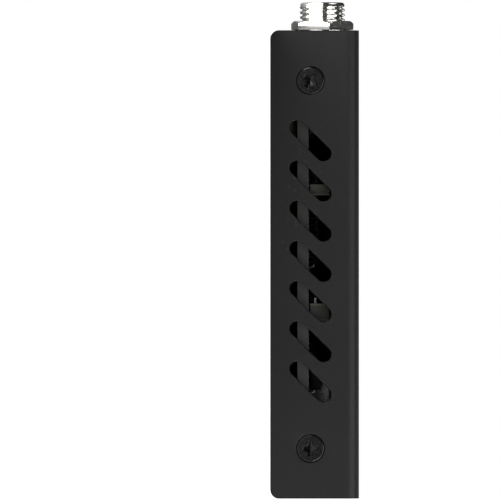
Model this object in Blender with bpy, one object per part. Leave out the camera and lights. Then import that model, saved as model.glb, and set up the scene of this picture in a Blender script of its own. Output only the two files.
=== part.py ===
"""Logic analyzer: a folded steel box with a board, a type B data socket and a threaded coaxial jack.

+Z is up, the underside of the base lies on Z = 0 with its centre at the origin, the front panel with
the jack and the channel header faces -Y, and the rear panel with the data socket faces +Y.
Sizes in the constants are millimetres.
"""

import math

import bmesh
import bpy
from mathutils import Matrix

MM = 0.001

# Enclosure.
LENGTH = 66.0
WIDTH = 47.0
HEIGHT = 12.5
SHEET = 0.8
SEAM = 0.1
COVER_BEND = 1.7
TRAY_BEND = 1.4
FLANGE_CORNER = 1.2
BEND_RELIEF = 0.9

# Vent slots in the flange of the cover on the jack's side.
SLOT_COUNT = 7
SLOT_PITCH = 5.66
SLOT_LENGTH = 7.3
SLOT_WIDTH = 2.15
SLOT_TURN = math.radians(45)
SLOT_ROW_Y = -0.45
SIDE_ROW_Z = 5.66

# Countersunk cover screws and the threaded ears that take them.
SCREW_FROM_END = 7.08
HEAD_RADIUS = 1.9
SCREW_RADIUS = 1.0
SCREW_LENGTH = 3.2
EAR_LENGTH = 10.4
EAR_LOW_Z = 1.9
EAR_HIGH_Z = 9.6
COLLAR_RADIUS = 2.0
COLLAR_DEPTH = 1.3

# Board and its supports.
BOARD_LOW = 3.8
BOARD_THICK = 1.6
BOARD_HALF_WIDTH = 21.7
BOARD_NECK_HALF_WIDTH = 19.9
BOARD_FRONT_Y = -30.6
BOARD_REAR_Y = 31.9
SUPPORTS = ((-17.0, -21.5), (17.0, -20.0), (-15.0, 24.5), (15.0, 24.5))

# Type B data socket.
USB_Z = 5.95
USB_WIDTH = 9.0
USB_HEIGHT = 8.3
USB_WALL = 0.35
USB_CHAMFER = 1.5
USB_DEPTH = 16.0
USB_CAVITY = 9.2
TONGUE_WIDTH = 5.6
TONGUE_HEIGHT = 3.18
TONGUE_BACK = 0.9
CONTACT_PITCH = 2.5
CONTACT_WIDTH = 1.0
CONTACT_THICK = 0.45
CONTACT_BACK = 2.0
TAB_REACH = 7.4
TAB_LONG = 2.4
TAB_PLACES = (19.0, 27.0)

# Coaxial jack with a 1/4-36 thread.
JACK_X = 12.0
JACK_Z = 7.33
JACK_REACH = 4.07
THREAD_RADIUS = 3.175
THREAD_PITCH = 0.706
THREAD_DEPTH = 0.36
NUT_ACROSS_FLATS = 8.0
NUT_FACE = 1.44
NUT_TURN = math.radians(17.5)
WASHER_TOP = 0.14

# Channel header.
HEADER_X = -8.5
HEADER_COLUMNS = 5
HEADER_PITCH = 2.54
HEADER_BLOCK = (-26.4, -23.9)
PIN_SIDE = 0.64
PIN_TIP_Y = -32.4
PIN_TAIL_Z = 2.8

# Status light: a rod from the lamp on the board to the front panel.
LIGHT_X = 3.0
LIGHT_Z = 7.6
LIGHT_RADIUS = 1.0
LAMP_FRONT_Y = -28.4
LAMP_SIZE = (3.0, 1.4, 3.0)

# Openings in the end panels, and how far a hole or window clears what passes through it.
WINDOW_LOW = 5.3
WINDOW_HIGH = 10.9
WINDOW_MARGIN = 0.5
HOLE_CLEARANCE = 0.12
SPIGOT_RADIUS = 1.65
STANDOFF_REACH = 2.4

FINE = 32
SIDE_X = WIDTH / 2
END_Y = LENGTH / 2
TRAY_HALF = SIDE_X - SHEET - SEAM
PANEL_TOP = HEIGHT - SHEET - SEAM
PANEL_BACK = END_Y - SHEET
BOARD_TOP = BOARD_LOW + BOARD_THICK
ON_BOARD = BOARD_TOP + SEAM


def clear_scene():
    for obj in list(bpy.data.objects):
        bpy.data.objects.remove(obj, do_unlink=True)


def material(name, colour, roughness, metallic=0.0, alpha=1.0):
    made = bpy.data.materials.new(name)
    made.use_nodes = True
    shader = made.node_tree.nodes["Principled BSDF"]
    shader.inputs["Base Color"].default_value = (*colour, 1.0)
    shader.inputs["Roughness"].default_value = roughness
    shader.inputs["Metallic"].default_value = metallic
    shader.inputs["Alpha"].default_value = alpha
    return made


def empty(name, location=(0, 0, 0), rotation=(0, 0, 0), parent=None):
    return place(bpy.data.objects.new(name, None), location, rotation, parent)


def place(obj, location=(0, 0, 0), rotation=(0, 0, 0), parent=None):
    bpy.context.scene.collection.objects.link(obj)
    obj.location = [value * MM for value in location]
    obj.rotation_euler = rotation
    obj.parent = parent
    return obj


def mesh_object(name, bm, **where):
    """Close a bmesh drawn in millimetres into an object in metres, with its faces outwards."""
    bmesh.ops.remove_doubles(bm, verts=bm.verts, dist=1e-5)
    bmesh.ops.recalc_face_normals(bm, faces=bm.faces)
    bmesh.ops.scale(bm, vec=(MM, MM, MM), verts=bm.verts)
    mesh = bpy.data.meshes.new(name)
    bm.to_mesh(mesh)
    bm.free()
    mesh.shade_smooth()
    mesh.set_sharp_from_angle(angle=math.radians(32))
    return place(bpy.data.objects.new(name, mesh), **where)


def add_prism(bm, outline, low, high, axis="Z"):
    """Extrude a closed outline from low to high along an axis; (u, v) are the other two axes."""
    order = {"X": (2, 0, 1), "Y": (0, 2, 1), "Z": (0, 1, 2)}[axis]

    def corner(u, v, w):
        point = (u, v, w)
        return [point[index] for index in order]

    base = bm.faces.new([bm.verts.new(corner(u, v, low)) for u, v in outline])
    grown = bmesh.ops.extrude_face_region(bm, geom=[base])["geom"]
    lift = corner(0.0, 0.0, high - low)
    bmesh.ops.translate(bm, vec=lift, verts=[item for item in grown if isinstance(item, bmesh.types.BMVert)])


def prism(name, outline, low, high, axis="Z", **where):
    bm = bmesh.new()
    add_prism(bm, outline, low, high, axis)
    return mesh_object(name, bm, **where)


def add_box(bm, low, high):
    outline = ((low[0], low[1]), (high[0], low[1]), (high[0], high[1]), (low[0], high[1]))
    add_prism(bm, outline, low[2], high[2])


def boxes(name, corners, **where):
    bm = bmesh.new()
    for low, high in corners:
        add_box(bm, low, high)
    return mesh_object(name, bm, **where)


def turned(name, profile, segments=FINE, ring=False, **where):
    """Spin a profile of (radius, height) points round local Z; a ring's profile closes on itself."""
    bm = bmesh.new()
    points = [bm.verts.new((radius, 0.0, height)) for radius, height in profile]
    pairs = list(zip(points, points[1:]))
    if ring:
        pairs.append((points[-1], points[0]))
    edges = [bm.edges.new(pair) for pair in pairs]
    bmesh.ops.spin(bm, geom=points + edges, cent=(0, 0, 0), axis=(0, 0, 1), angle=math.tau,
                   steps=segments, use_merge=True)
    return mesh_object(name, bm, **where)


def arc(centre_u, centre_v, radius, start, end, steps=6):
    """Points of a round corner, with its angles in degrees."""
    angles = [math.radians(start + (end - start) * step / steps) for step in range(steps + 1)]
    return [(centre_u + radius * math.cos(a), centre_v + radius * math.sin(a)) for a in angles]


def circle(centre_u, centre_v, radius, steps=FINE):
    return arc(centre_u, centre_v, radius, 0, 360 - 360 / steps, steps - 1)


def rectangle(half_u, low_v, high_v):
    return [(-half_u, low_v), (half_u, low_v), (half_u, high_v), (-half_u, high_v)]


def channel_outline(half, height, bend, sheet=SHEET):
    """A folded U section with its web at the top and two round bends."""
    inner = bend - sheet
    outer_left = arc(-half + bend, height - bend, bend, 180, 90)
    outer_right = arc(half - bend, height - bend, bend, 90, 0)
    inner_right = arc(half - bend, height - bend, inner, 0, 90)
    inner_left = arc(-half + bend, height - bend, inner, 90, 180)
    outer = [(-half, 0.0), *outer_left, *outer_right, (half, 0.0)]
    return outer + [(half - sheet, 0.0), *inner_right, *inner_left, (-half + sheet, 0.0)]


def stadium(centre_u, centre_v, length, width, turn):
    """A slot with round ends, turned about its centre."""
    reach = (length - width) / 2
    straight = arc(reach, 0, width / 2, -90, 90, 8) + arc(-reach, 0, width / 2, 90, 270, 8)
    cos, sin = math.cos(turn), math.sin(turn)
    return [(centre_u + u * cos - v * sin, centre_v + u * sin + v * cos) for u, v in straight]


def cross(reach, width):
    """The outline of a cross recess."""
    w = width / 2
    return [(reach, -w), (reach, w), (w, w), (w, reach), (-w, reach), (-w, w), (-reach, w), (-reach, -w),
            (-w, -w), (-w, -reach), (w, -reach), (w, -w)]


def boolean(obj, tool, operation="DIFFERENCE"):
    modifier = obj.modifiers.new(tool.name, "BOOLEAN")
    modifier.operation = operation
    modifier.solver = "EXACT"
    modifier.object = tool
    tool.hide_render = True
    tool.display_type = "WIRE"
    return obj


def dress(obj, finish):
    obj.data.materials.clear()
    obj.data.materials.append(finish)
    return obj


def copies(source, name, places, **where):
    """Further objects that share one mesh and its modifiers."""
    made = []
    for number, spot in enumerate(places, 1):
        twin = source if number == 1 else source.copy()
        twin.name = f"{name}_{number}"
        if number > 1:
            bpy.context.scene.collection.objects.link(twin)
        twin.location = [value * MM for value in spot]
        for key, values in where.items():
            setattr(twin, key, values[number - 1])
        made.append(twin)
    return made


def side_screw_places():
    """Centres of the cover screws on the two flanges."""
    y = END_Y - SCREW_FROM_END
    return [(side * SIDE_X, end * y, SIDE_ROW_Z) for side in (1, -1) for end in (-1, 1)]


# Enclosure

def make_tray(steel):
    """The base: a floor and two end panels folded from one sheet, with threaded ears."""
    section = [(y, PANEL_TOP - z) for y, z in channel_outline(END_Y, PANEL_TOP, TRAY_BEND)]
    tray = prism("base_tray", section, -TRAY_HALF, TRAY_HALF, axis="X")
    r = COVER_BEND - SHEET - SEAM
    shoulders = [(-TRAY_HALF, -1.0), (TRAY_HALF, -1.0), *arc(TRAY_HALF - r, PANEL_TOP - r, r, 0, 90),
                 *arc(r - TRAY_HALF, PANEL_TOP - r, r, 90, 180)]
    boolean(tray, prism("panel_shoulder_shape", shoulders, -END_Y - 1, END_Y + 1, axis="Y"), "INTERSECT")
    for end in (-1, 1):
        back = end * PANEL_BACK
        tip = end * (END_Y - EAR_LENGTH)
        for side in (-1, 1):
            outer, inner = side * TRAY_HALF, side * (TRAY_HALF - SHEET)
            low = (min(outer, inner), min(back + end * 0.4, tip), EAR_LOW_Z)
            high = (max(outer, inner), max(back + end * 0.4, tip), EAR_HIGH_Z)
            boolean(tray, boxes("ear_shape", [(low, high)]), "UNION")
            foot = side * (TRAY_HALF - SHEET / 2)
            base = side * (TRAY_HALF - SHEET - COLLAR_DEPTH)
            collar = prism("collar_shape", circle(end * (END_Y - SCREW_FROM_END), SIDE_ROW_Z, COLLAR_RADIUS),
                           min(foot, base), max(foot, base), axis="X")
            boolean(tray, collar, "UNION")
    cuts = bmesh.new()
    for end in (-1, 1):
        add_prism(cuts, circle(end * (END_Y - SCREW_FROM_END), SIDE_ROW_Z, SCREW_RADIUS + HOLE_CLEARANCE),
                  -SIDE_X, SIDE_X, axis="X")
        for side in (-1, 1):
            near, far = side * (TRAY_HALF - BEND_RELIEF), side * SIDE_X
            inside, outside = end * (END_Y - TRAY_BEND - 0.3), end * (END_Y + 1)
            add_box(cuts, (min(near, far), min(inside, outside), -1.0),
                    (max(near, far), max(inside, outside), TRAY_BEND + 0.1))
    boolean(tray, mesh_object("tray_side_cuts", cuts))
    panel = bmesh.new()
    half_window = HEADER_COLUMNS * HEADER_PITCH / 2 + WINDOW_MARGIN
    window = [(HEADER_X + u, v) for u, v in rectangle(half_window, WINDOW_LOW, WINDOW_HIGH)]
    add_prism(panel, window, -END_Y - 1, -PANEL_BACK + 1, axis="Y")
    jack_hole = circle(JACK_X, JACK_Z, THREAD_RADIUS + HOLE_CLEARANCE)
    light_hole = circle(LIGHT_X, LIGHT_Z, LIGHT_RADIUS + SEAM)
    for outline in (jack_hole, light_hole):
        add_prism(panel, outline, -END_Y - 1, -PANEL_BACK + 1, axis="Y")
    half, reach = USB_WIDTH / 2 + HOLE_CLEARANCE, USB_HEIGHT / 2 + HOLE_CLEARANCE
    add_prism(panel, rectangle(half, USB_Z - reach, USB_Z + reach), PANEL_BACK - 1, END_Y + 1, axis="Y")
    for x, y in SUPPORTS:
        add_prism(panel, circle(x, y, SPIGOT_RADIUS + SEAM), -1.0, 2.0)
    boolean(tray, mesh_object("tray_panel_cuts", panel))
    return dress(tray, steel)


def make_cover(steel):
    """The cover: a U channel with countersinks in both flanges and vent slots in one."""
    cover = prism("top_cover", channel_outline(SIDE_X, HEIGHT, COVER_BEND), -END_Y, END_Y, axis="Y")
    r = FLANGE_CORNER
    side = [*arc(-END_Y + r, r, r, 180, 270), *arc(END_Y - r, r, r, 270, 360),
            (END_Y, HEIGHT + 1), (-END_Y, HEIGHT + 1)]
    boolean(cover, prism("cover_corner_shape", side, -SIDE_X - 1, SIDE_X + 1, axis="X"), "INTERSECT")
    slots = bmesh.new()
    for index in range(SLOT_COUNT):
        y = SLOT_ROW_Y + (index - (SLOT_COUNT - 1) / 2) * SLOT_PITCH
        slot = stadium(y, SIDE_ROW_Z, SLOT_LENGTH, SLOT_WIDTH, SLOT_TURN)
        add_prism(slots, slot, 0.0, SIDE_X + 1, axis="X")
    boolean(cover, mesh_object("vent_slot_cuts", slots))
    seat = [(0, 0.2), (HEAD_RADIUS + 0.2, 0.2), (HEAD_RADIUS + 0.2, 0.0), (HEAD_RADIUS - 0.65, -0.75),
            (HEAD_RADIUS - 0.65, -1.5), (0, -1.5)]
    for x, y, z in side_screw_places():
        turn = (0, math.copysign(math.pi / 2, x), 0)
        boolean(cover, turned("screw_seat_cut", seat, location=(x, y, z), rotation=turn))
    return dress(cover, steel)


def make_cover_screws(steel):
    """Countersunk cross-recess screws, drawn with the head's face on local Z = 0."""
    tip = -SCREW_LENGTH
    profile = [(0, tip), (SCREW_RADIUS - 0.3, tip), (SCREW_RADIUS, tip + 0.35), (SCREW_RADIUS, -0.85),
               (HEAD_RADIUS, -0.1), (HEAD_RADIUS - 0.08, -0.02), (0, -0.02)]
    screw = turned("cover_screw", profile)
    bm = bmesh.new()
    add_prism(bm, cross(1.05, 0.5), -0.7, 0.5)
    recess = mesh_object("cover_screw_recess", bm, parent=screw)
    recess.rotation_euler = (0, 0, math.radians(20))
    places = side_screw_places()
    turns = [(0, math.copysign(math.pi / 2, x), 0) for x, y, z in places]
    twins = copies(cut_now(screw, recess), "cover_screw", places, rotation_euler=turns)
    return [dress(twin, steel) for twin in twins]


def cut_now(obj, tool):
    """Apply a cut to the mesh itself, so that copies can share it, and drop the tool."""
    boolean(obj, tool)
    bpy.context.view_layer.update()
    graph = bpy.context.evaluated_depsgraph_get()
    mesh = bpy.data.meshes.new_from_object(obj.evaluated_get(graph))
    obj.modifiers.clear()
    obj.data = mesh
    bpy.data.objects.remove(tool, do_unlink=True)
    return obj


# Board

def make_board(laminate):
    """The board, necked at its corners for the ears and notched at the rear for the data socket."""
    neck, full = BOARD_NECK_HALF_WIDTH, BOARD_HALF_WIDTH
    step = END_Y - EAR_LENGTH - 0.4
    notch, deep = USB_WIDTH / 2 + 0.25, END_Y - USB_DEPTH - 0.3
    right = [(neck, BOARD_FRONT_Y), (neck, -step), (full, -step), (full, step), (neck, step),
             (neck, BOARD_REAR_Y), (notch, BOARD_REAR_Y), (notch, deep)]
    outline = right + [(-x, y) for x, y in reversed(right)]
    board = prism("main_board", outline, BOARD_LOW, BOARD_TOP)
    holes = bmesh.new()
    for x, y in SUPPORTS:
        add_prism(holes, circle(x, y, SCREW_RADIUS + 0.15, 24), BOARD_LOW - 1, BOARD_TOP + 1)
    for x, y, z in header_pins():
        add_prism(holes, circle(x, y, 0.55, 16), BOARD_LOW - 1, BOARD_TOP + 1)
    boolean(board, mesh_object("board_holes", holes))
    return dress(board, laminate)


def make_supports(steel):
    """Hexagonal standoffs pressed into the floor, and the pan-head screws that hold the board."""
    hexagon = circle(0, 0, STANDOFF_REACH, 6)
    bm = bmesh.new()
    add_prism(bm, hexagon, SHEET + SEAM, BOARD_LOW - SEAM)
    post = mesh_object("board_standoff", bm)
    spigot = prism("standoff_spigot", circle(0, 0, SPIGOT_RADIUS), SEAM, SHEET + 0.5)
    boolean(post, spigot, "UNION")
    bore = prism("standoff_bore", circle(0, 0, SCREW_RADIUS + 0.1, 24), 1.4, BOARD_LOW + 1)
    post = cut_now(post, bore)
    bpy.data.objects.remove(spigot, do_unlink=True)
    places = [(x, y, 0) for x, y in SUPPORTS]
    for twin in copies(post, "board_standoff", places):
        dress(twin, steel)
    head = ON_BOARD
    profile = [(0, 1.7), (SCREW_RADIUS, 1.7), (SCREW_RADIUS, head), (2.1, head), (2.1, head + 0.9),
               (1.5, head + 1.4), (0, head + 1.5)]
    screw = turned("board_screw", profile, segments=24)
    recess = prism("board_screw_recess", cross(1.1, 0.45), head + 0.6, head + 2)
    for twin in copies(cut_now(screw, recess), "board_screw", places):
        dress(twin, steel)


# Data socket

def socket_outline(inset):
    """The socket's section: a square with its two upper corners cut off."""
    half, reach = USB_WIDTH / 2 - inset, USB_HEIGHT / 2 - inset
    cut = USB_CHAMFER - 0.6 * inset
    low, high = USB_Z - reach, USB_Z + reach
    return [(-half, low), (half, low), (half, high - cut), (half - cut, high), (cut - half, high),
            (-half, high - cut)]


def make_socket(steel, plastic, gold):
    """Shell, insulating body with its tongue, and four spring contacts."""
    front, rear = END_Y - 0.1, END_Y - USB_DEPTH
    shell = prism("usb_shell", socket_outline(0), rear, front, axis="Y")
    boolean(shell, prism("socket_cavity", socket_outline(USB_WALL), rear - 1, front + 1, axis="Y"))
    for side in (-1, 1):
        near, far = sorted((side * (USB_WIDTH / 2 - SEAM), side * TAB_REACH))
        for y in TAB_PLACES:
            tab = ((near, y, ON_BOARD), (far, y + TAB_LONG, ON_BOARD + USB_WALL))
            boolean(shell, boxes("socket_tab", [tab]), "UNION")
    dress(shell, steel)
    wall = front - USB_CAVITY
    body = prism("usb_housing", socket_outline(USB_WALL + SEAM), rear + 0.2, wall, axis="Y")
    section = rectangle(TONGUE_WIDTH / 2, USB_Z - TONGUE_HEIGHT / 2, USB_Z + TONGUE_HEIGHT / 2)
    tongue = prism("tongue_shape", section, wall - 1, front - TONGUE_BACK, axis="Y")
    boolean(body, tongue, "UNION")
    dress(body, plastic)
    number = 0
    for face in (-1, 1):
        for column in (-1, 1):
            number += 1
            x = column * CONTACT_PITCH / 2
            level = USB_Z + face * (TONGUE_HEIGHT / 2 + SEAM)
            lift = level + face * CONTACT_THICK
            low = (x - CONTACT_WIDTH / 2, wall + SEAM, min(level, lift))
            high = (x + CONTACT_WIDTH / 2, front - CONTACT_BACK, max(level, lift))
            dress(boxes(f"usb_contact_{number}", [(low, high)]), gold)


# Coaxial jack

def make_jack(nickel, fluoropolymer, gold):
    """Everything on the jack's axis is drawn outwards from the front panel's face along local Z."""
    axis = empty("jack_axis", (JACK_X, -END_Y, JACK_Z), (math.pi / 2, 0, 0))
    crest, root = THREAD_RADIUS, THREAD_RADIUS - THREAD_DEPTH
    ridges = []
    turns = int((JACK_REACH - 0.5) / THREAD_PITCH)
    for turn in range(turns):
        z = JACK_REACH - 0.45 - turn * THREAD_PITCH
        ridges += [(crest, z - 0.12), (crest, z - 0.24), (root, z - 0.42), (root, z - 0.58)]
    bore, recess = 2.1, 2.3
    lip = JACK_REACH - 1.6
    profile = [(bore, lip), (recess, lip), (recess, JACK_REACH), (crest - 0.45, JACK_REACH),
               (crest - 0.1, JACK_REACH - 0.35), *ridges, (crest, -0.2), (crest, -SHEET - SEAM),
               (4.0, -SHEET - SEAM), (4.0, -2.2), (1.85, -2.2), (1.85, -7.2), (1.2, -7.2), (1.2, -1.8),
               (bore, -1.8)]
    dress(turned("jack_body", profile, segments=40, ring=True, parent=axis), nickel)
    inner = bore - SEAM
    insulator = [(0.75, -1.7), (inner, -1.7), (inner, lip - SEAM), (0.75, lip - SEAM)]
    dress(turned("jack_insulator", insulator, ring=True, parent=axis), fluoropolymer)
    contact = turned("jack_contact", [(0, -9.4), (0.4, -9.4), (0.4, -3.6), (0.65, -3.6), (0.65, lip),
                                      (0.42, lip), (0.42, lip - 1.6), (0, lip - 1.6)], 24, parent=axis)
    down = JACK_Z - ON_BOARD
    tail = boxes("contact_tail_shape", [((-0.3, -down, -9.6), (0.3, 0.1, -9.0))], parent=axis)
    dress(boolean(contact, tail, "UNION"), gold)
    ring = [(crest + 0.03, 0.04), (NUT_ACROSS_FLATS / 2, 0.04), (NUT_ACROSS_FLATS / 2, WASHER_TOP),
            (crest + 0.03, WASHER_TOP)]
    dress(turned("jack_washer", ring, 40, ring=True, parent=axis), nickel)
    make_nut(axis, nickel)


def make_nut(axis, nickel):
    """A thin hexagonal nut whose outer face is chamfered round its corners."""
    reach = NUT_ACROSS_FLATS / 2 / math.cos(math.pi / 6)
    low = WASHER_TOP + 0.04
    corners = [(reach * math.sin(NUT_TURN + k * math.pi / 3), reach * math.cos(NUT_TURN + k * math.pi / 3))
               for k in range(6)]
    nut = prism("jack_nut", corners, low, NUT_FACE, parent=axis)
    flat = NUT_ACROSS_FLATS / 2
    barrel = [(0, low - 0.1), (reach + 0.1, low - 0.1), (reach + 0.1, NUT_FACE - 0.42),
              (flat, NUT_FACE + 0.01), (0, NUT_FACE + 0.01)]
    boolean(nut, turned("nut_chamfer_shape", barrel, 48, parent=axis), "INTERSECT")
    boolean(nut, prism("nut_bore", circle(0, 0, THREAD_RADIUS + 0.03, 40), -1, 3, parent=axis))
    dress(nut, nickel)


# Channel header

def header_pins():
    """Where each pin turns down into the board: x, y and the height of its straight part."""
    base = ON_BOARD + 0.05 + HEADER_PITCH / 2
    spots = []
    for column in range(HEADER_COLUMNS):
        x = HEADER_X + (column - (HEADER_COLUMNS - 1) / 2) * HEADER_PITCH
        for row in range(2):
            spots.append((x, HEADER_BLOCK[1] + 1.3 + row * HEADER_PITCH, base + row * HEADER_PITCH))
    return spots


def make_header(plastic, gold):
    half = HEADER_COLUMNS * HEADER_PITCH / 2
    front, rear = HEADER_BLOCK
    low, high = ON_BOARD, ON_BOARD + 2 * HEADER_PITCH + 0.1
    block = boxes("channel_header", [((HEADER_X - half, front, low), (HEADER_X + half, rear, high))])
    holes = bmesh.new()
    side = PIN_SIDE / 2
    bore = side + 0.05
    for number, (x, y, z) in enumerate(header_pins(), 1):
        add_box(holes, (x - bore, front - 1, z - bore), (x + bore, rear + 1, z + bore))
        path = [(PIN_TIP_Y, z - side), (y - side, z - side), (y - side, PIN_TAIL_Z), (y + side, PIN_TAIL_Z),
                (y + side, z + side), (PIN_TIP_Y, z + side)]
        dress(prism(f"header_pin_{number:02d}", path, x - side, x + side, axis="X"), gold)
    dress(boolean(block, mesh_object("header_pin_holes", holes)), plastic)


# Parts on the board

CHIPS = {
    "logic_chip": ((0.0, -7.0), (14.0, 14.0), 1.4),
    "usb_controller": ((-1.5, 9.0), (10.0, 10.0), 1.2),
    "memory_chip": ((-15.5, -5.5), (8.0, 14.0), 1.0),
    "config_flash": ((-15.0, 7.5), (5.0, 5.2), 1.5),
    "clock_oscillator": ((8.5, 6.0), (5.0, 3.2), 1.3),
    "input_buffer_1": ((-12.0, -16.6), (6.5, 4.4), 1.0),
    "input_buffer_2": ((-3.0, -16.9), (6.5, 4.4), 1.0),
    "voltage_regulator": ((12.5, 16.0), (6.5, 3.5), 1.6),
}
BLOCKS = {
    "power_inductor": ((19.0, 6.8), (4.6, 2.6), 2.9),
    "bulk_capacitor": ((-12.0, 18.0), (4.3, 7.3), 2.8),
    "input_capacitor": ((19.4, -10.5), (3.2, 1.6), 3.0),
    "termination_array": ((7.0, -19.5), (5.0, 2.2), 0.9),
}


def make_chips(epoxy):
    """Moulded packages with drafted sides that stand a little off the board."""
    for name, ((x, y), (wide, long), high) in CHIPS.items():
        bm = bmesh.new()
        add_box(bm, (-wide / 2, -long / 2, 0.0), (wide / 2, long / 2, high))
        top = [vert for vert in bm.verts if vert.co.z > high / 2]
        shrink = Matrix.Diagonal((1 - 0.3 / wide, 1 - 0.3 / long, 1, 1))
        bmesh.ops.transform(bm, matrix=shrink, verts=top)
        dress(mesh_object(name, bm, location=(x, y, ON_BOARD)), epoxy)


def make_blocks(ferrite):
    """Passive parts: boxes with bevelled edges."""
    for name, ((x, y), (wide, long), high) in BLOCKS.items():
        obj = boxes(name, [((-wide / 2, -long / 2, 0.0), (wide / 2, long / 2, high))],
                    location=(x, y, ON_BOARD))
        bevel = obj.modifiers.new("edges", "BEVEL")
        bevel.width = 0.2 * MM
        bevel.segments = 2
        dress(obj, ferrite)


def make_status_light(clear, white):
    """A side-looking lamp on the board and the rod that carries its light to the front panel."""
    rod = prism("light_pipe", circle(LIGHT_X, LIGHT_Z, LIGHT_RADIUS, 24), -END_Y + 0.05,
                LAMP_FRONT_Y - 2 * SEAM, axis="Y")
    dress(rod, clear)
    wide, deep, high = LAMP_SIZE
    lamp = [((LIGHT_X - wide / 2, LAMP_FRONT_Y, ON_BOARD),
             (LIGHT_X + wide / 2, LAMP_FRONT_Y + deep, ON_BOARD + high))]
    dress(boxes("status_lamp", lamp), white)


def main():
    clear_scene()
    steel = material("black_powder_coated_steel", (0.02, 0.02, 0.021), 0.42)
    screw_steel = material("black_plated_steel", (0.03, 0.03, 0.03), 0.35, 0.6)
    bright = material("tinned_steel", (0.72, 0.72, 0.7), 0.3, 1.0)
    nickel = material("nickel_plate", (0.8, 0.79, 0.76), 0.16, 1.0)
    gold = material("gold_plate", (0.9, 0.68, 0.3), 0.25, 1.0)
    laminate = material("board_laminate", (0.03, 0.12, 0.05), 0.4)
    white = material("white_plastic", (0.85, 0.85, 0.83), 0.45)
    black = material("black_plastic", (0.02, 0.02, 0.02), 0.5)
    epoxy = material("moulded_epoxy", (0.025, 0.025, 0.027), 0.55)
    ferrite = material("passive_part_body", (0.09, 0.08, 0.07), 0.5)
    clear = material("clear_plastic", (0.85, 0.87, 0.88), 0.1, alpha=0.5)
    fluoropolymer = material("white_fluoropolymer", (0.9, 0.9, 0.88), 0.5)
    make_tray(steel)
    make_cover(steel)
    make_cover_screws(screw_steel)
    make_board(laminate)
    make_supports(bright)
    make_socket(bright, white, gold)
    make_jack(nickel, fluoropolymer, gold)
    make_header(black, gold)
    make_chips(epoxy)
    make_blocks(ferrite)
    make_status_light(clear, white)


main()
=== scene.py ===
"""Visible model of a folded-steel logic analyzer, laid out as a Blender add-on and run as a script.

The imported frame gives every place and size. New pieces are surfaces of two parameters, worked out as
whole arrays in millimetres and written to meshes in metres. +Z is up, -Y is the jack's panel.
"""

import math

import bmesh
import bpy
import numpy as np
from mathutils import Matrix, Vector


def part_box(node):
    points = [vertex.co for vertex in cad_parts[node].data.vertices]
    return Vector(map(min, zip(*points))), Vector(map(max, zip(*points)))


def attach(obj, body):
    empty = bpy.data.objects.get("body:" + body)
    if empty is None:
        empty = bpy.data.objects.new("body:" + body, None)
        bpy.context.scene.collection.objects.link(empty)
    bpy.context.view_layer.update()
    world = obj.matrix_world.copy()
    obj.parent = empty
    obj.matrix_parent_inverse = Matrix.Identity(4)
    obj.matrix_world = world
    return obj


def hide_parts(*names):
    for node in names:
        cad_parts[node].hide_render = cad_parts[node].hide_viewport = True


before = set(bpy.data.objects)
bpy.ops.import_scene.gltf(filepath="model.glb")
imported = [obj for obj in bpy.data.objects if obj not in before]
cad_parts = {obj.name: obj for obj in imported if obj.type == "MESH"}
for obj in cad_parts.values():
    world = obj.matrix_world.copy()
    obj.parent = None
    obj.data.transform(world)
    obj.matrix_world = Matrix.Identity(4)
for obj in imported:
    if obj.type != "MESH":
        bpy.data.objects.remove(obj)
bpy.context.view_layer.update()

bl_info = {
    "name": "Logic Analyzer Finish",
    "version": (1, 0, 0),
    "blender": (4, 5, 0),
    "location": "View3D > Sidebar > Analyzer",
    "description": "Builds the visible pieces, finishes and stage of a folded-steel logic analyzer",
    "category": "Object",
}

MM = 0.001
CHASSIS = "chassis"


def span(node):
    """A node's lowest and highest corners in millimetres, as arrays."""
    low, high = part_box(node)
    return np.array(low) / MM, np.array(high) / MM


def middle(node):
    """The middle of a node's box, half of the sum of its corners."""
    low, high = span(node)
    return (low + high) / 2


COVER_LOW, COVER_HIGH = span("top_cover")
NUT_LOW, NUT_HIGH = span("jack_nut")
JACK_LOW, JACK_HIGH = span("jack_body")
SOCKET_LOW, SOCKET_HIGH = span("usb_housing")
BOARD_TOP = span("main_board")[1][2]
SCREW_LOW, SCREW_HIGH = span("cover_screw_1")


# Settings

def size(name, value, note, low=0.0):
    return bpy.props.FloatProperty(name=name, description=note + ", in millimetres", default=value, min=low,
                                   precision=3)


def colour(name, value, note):
    return bpy.props.FloatVectorProperty(name=name, description=note, default=value, size=3, subtype="COLOR",
                                         min=0.0, max=1.0)


def factor(name, value, note):
    return bpy.props.FloatProperty(name=name, description=note, default=value, min=0.0, max=1.0,
                                   subtype="FACTOR")


def angle(name, degrees, note):
    return bpy.props.FloatProperty(name=name, description=note, default=math.radians(degrees),
                                   subtype="ANGLE")


def power(name, value, note):
    return bpy.props.FloatProperty(name=name, description="Power of " + note, default=value,
                                   subtype="POWER")


class ANALYZER_PG_cover(bpy.types.PropertyGroup):
    sheet: size("Sheet", 0.8, "Thickness of the folded steel")
    bend: size("Bend", 1.7, "Outer radius of the two long bends")
    corner: size("Corner", 1.2, "Radius of the flanges' free corners")
    slots: bpy.props.IntProperty(name="Slots", description="Vent slots in the slotted flange", default=7,
                                 min=1)
    slot_middle: size("Slot row", -0.45, "Place of the middle slot along the box", low=-10.0)
    pitch: size("Slot pitch", 5.66, "Distance between neighbouring slots")
    slot_length: size("Slot length", 7.3, "Length of a slot over its round ends")
    slot_width: size("Slot width", 2.15, "Width of a slot")
    row: size("Row height", float(middle("cover_screw_1")[2]), "Height of the slots and screws")
    seat: size("Seat radius", 2.0, "Radius of the hole round a screw's head")
    shoulder: size("Seat shoulder", 0.14, "Width of the eased shoulder round the hole")
    edge: size("Edge ease", 0.09, "Width of the eased edges")


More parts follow.
